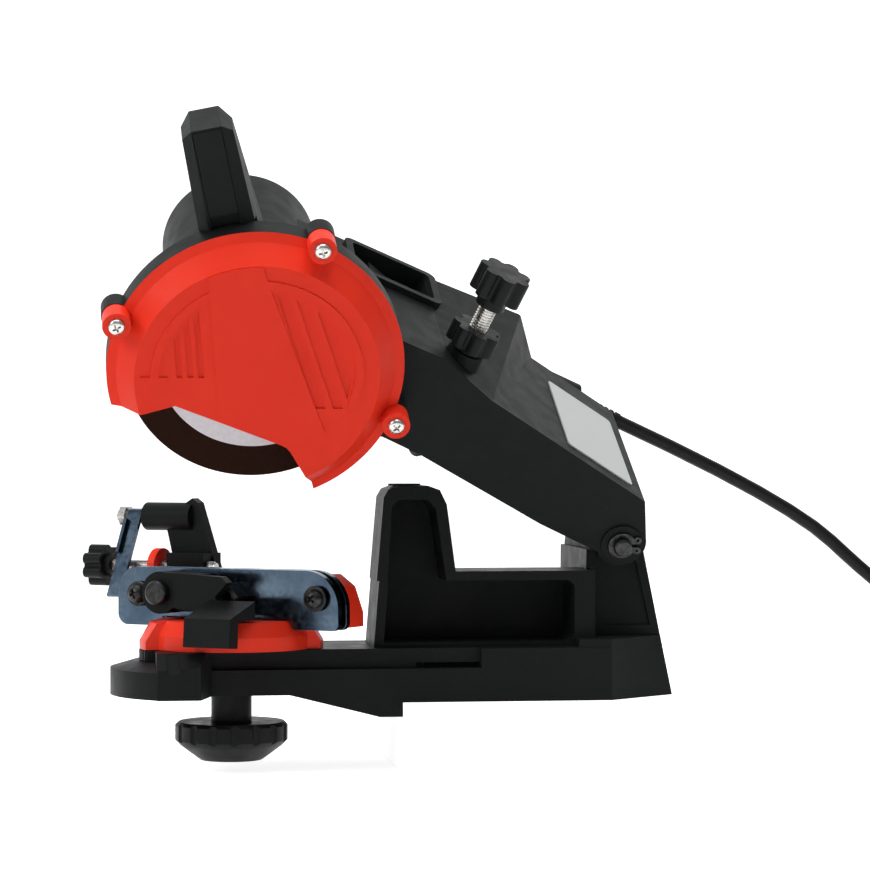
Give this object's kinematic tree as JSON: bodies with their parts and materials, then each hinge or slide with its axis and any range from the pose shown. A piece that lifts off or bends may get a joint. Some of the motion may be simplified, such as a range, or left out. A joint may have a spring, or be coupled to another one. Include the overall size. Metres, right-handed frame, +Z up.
{
  "type": "electric chainsaw sharpener",
  "caption": "Bench-bolted electric grinder for saw chains: spindle head with guard and grip on a sprung hinged arm, depth stop, turning chain vise with clamp lever and chain stop, mains cord",
  "frame": {"origin": "middle of the foot's face on the bench, z = 0 at the bench top", "axes": "+Z up, +X from the chain vise towards the arm's hinge, +Y away from the operator"},
  "size_m": [0.5056, 0.1999, 0.2718],
  "materials": {
    "black_casting": "fine grained, semi matt",
    "black_plastic": "fine grained, semi matt",
    "knob_plastic": "moulded, semi gloss",
    "red_plastic": "satin",
    "red_casting": "satin paint",
    "zinc_plate": "zinc plated, mirror like with mottled stains",
    "bright_steel": "zinc plated",
    "dark_steel": "blackened",
    "motor_core": "laminated",
    "abrasive": "bonded grit",
    "paper": "printed paper",
    "label": "satin foil, bare",
    "cord_rubber": "satin sheath"
  },
  "bodies": {
    "base": {"base_casting": "black_casting", "angle_ring": "black_casting", "hinge_pin": "dark_steel", "circlip_near": "dark_steel", "circlip_far": "dark_steel", "power_cord": "cord_rubber", "cord_coil": "cord_rubber", "plug": "black_plastic"},
    "arm": {"arm_housing": "black_plastic", "arm_cover": "black_plastic", "wheel_housing": "black_plastic", "wheel_guard": "red_plastic", "guard_screw_1": "bright_steel", "guard_screw_2": "bright_steel", "guard_screw_3": "bright_steel", "motor_housing": "black_plastic", "stator": "motor_core", "bearing_front": "bright_steel", "bearing_back": "bright_steel", "grip_shell": "black_plastic", "grip_panel": "black_plastic", "label_plate": "label", "switch_frame": "black_plastic", "cord_boot": "cord_rubber"},
    "spindle": {"rotor": "motor_core", "flange_inner": "bright_steel", "flange_outer": "bright_steel", "wheel_nut": "bright_steel", "grinding_wheel": "abrasive", "paper_front": "paper", "paper_back": "paper"},
    "rocker": {"switch_rocker": "black_plastic"},
    "stop_foot": {"stop_foot": "dark_steel"},
    "stop_screw": {"stop_screw": "bright_steel", "stop_knob": "knob_plastic"},
    "stop_lock": {"stop_lock_knob": "knob_plastic"},
    "vise": {"vise_body": "red_casting", "rear_jaw": "zinc_plate", "jaw_bolt_left": "dark_steel", "jaw_bolt_right": "dark_steel", "clamp_stud": "dark_steel"},
    "front_jaw": {"front_jaw": "zinc_plate", "guide_block": "dark_steel"},
    "clamp_lever": {"clamp_lever": "black_plastic"},
    "bracket": {"stop_bracket": "black_casting", "pawl_pin": "bright_steel", "pawl_nut": "bright_steel"},
    "pawl": {"pawl": "zinc_plate"},
    "adjuster": {"adjust_screw": "bright_steel", "adjust_knob": "knob_plastic"},
    "table_lock": {"table_bolt": "bright_steel", "table_knob": "knob_plastic"}
  },
  "joints": [
    {"name": "arm_swing", "type": "hinge", "parent": "base", "child": "arm", "pos_m": [0.0363, 0.00577, 0.0861], "axis": [0, -0.891, -0.454], "range_deg": [0, 8.2], "stiffness_Nm_per_rad": 7, "springref_deg": -28.65},
    {"name": "wheel_spin", "type": "hinge", "parent": "arm", "child": "spindle", "pos_m": [-0.126, -0.075, 0.1455], "axis": [0, -0.891, -0.454], "continuous": true},
    {"name": "switch_rock", "type": "hinge", "parent": "arm", "child": "rocker", "pos_m": [-0.06524, -0.0119, 0.17806], "axis": [0, -0.891, -0.454], "range_deg": [0, 13]},
    {"name": "stop_depth", "type": "slide", "parent": "arm", "child": "stop_foot", "axis": [0.3714, -0.4215, 0.8273], "range_m": [-0.006, 0.006]},
    {"name": "stop_turn", "type": "hinge", "parent": "stop_foot", "child": "stop_screw", "pos_m": [-0.0546, -0.0344, 0.10547], "axis": [0.3714, -0.4215, 0.8273], "range_deg": [-1730, 1730]},
    {"name": "stop_lock_turn", "type": "hinge", "parent": "arm", "child": "stop_lock", "pos_m": [-0.0546, -0.0344, 0.10547], "axis": [0.3714, -0.4215, 0.8273], "range_deg": [0, 180]},
    {"name": "vise_turn", "type": "hinge", "parent": "base", "child": "vise", "pos_m": [-0.1328, -0.03, 0.0226], "axis": [0, 0, 1], "range_deg": [0, 70]},
    {"name": "table_lock_turn", "type": "hinge", "parent": "base", "child": "table_lock", "pos_m": [-0.1328, -0.03, 0], "axis": [0, 0, 1], "range_deg": [0, 180]},
    {"name": "jaw_slide", "type": "slide", "parent": "vise", "child": "front_jaw", "axis": [-0.5736, -0.8192, 0], "range_m": [0, 0.0012]},
    {"name": "clamp_turn", "type": "hinge", "parent": "vise", "child": "clamp_lever", "pos_m": [-0.15164, -0.01681, 0.0465], "axis": [-0.5736, -0.8192, 0], "range_deg": [0, 30]},
    {"name": "chain_stop_slide", "type": "slide", "parent": "vise", "child": "bracket", "axis": [0.8192, -0.5736, 0], "range_m": [-0.002, 0.004]},
    {"name": "adjuster_turn", "type": "hinge", "parent": "vise", "child": "adjuster", "pos_m": [-0.16315, 0.01383, 0.0558], "axis": [0.8192, -0.5736, 0], "range_deg": [-1801, 901]},
    {"name": "pawl_swing", "type": "hinge", "parent": "bracket", "child": "pawl", "pos_m": [-0.16654, 0.02293, 0.0776], "axis": [0.8192, -0.5736, 0], "range_deg": [-60, 0]}
  ],
  "couplings": [
    {"joint": "stop_turn", "follows": "stop_depth", "rad_per_m": 5026.5},
    {"joint": "clamp_turn", "follows": "jaw_slide", "rad_per_m": 435.9},
    {"joint": "adjuster_turn", "follows": "chain_stop_slide", "rad_per_m": -7854}
  ]
}
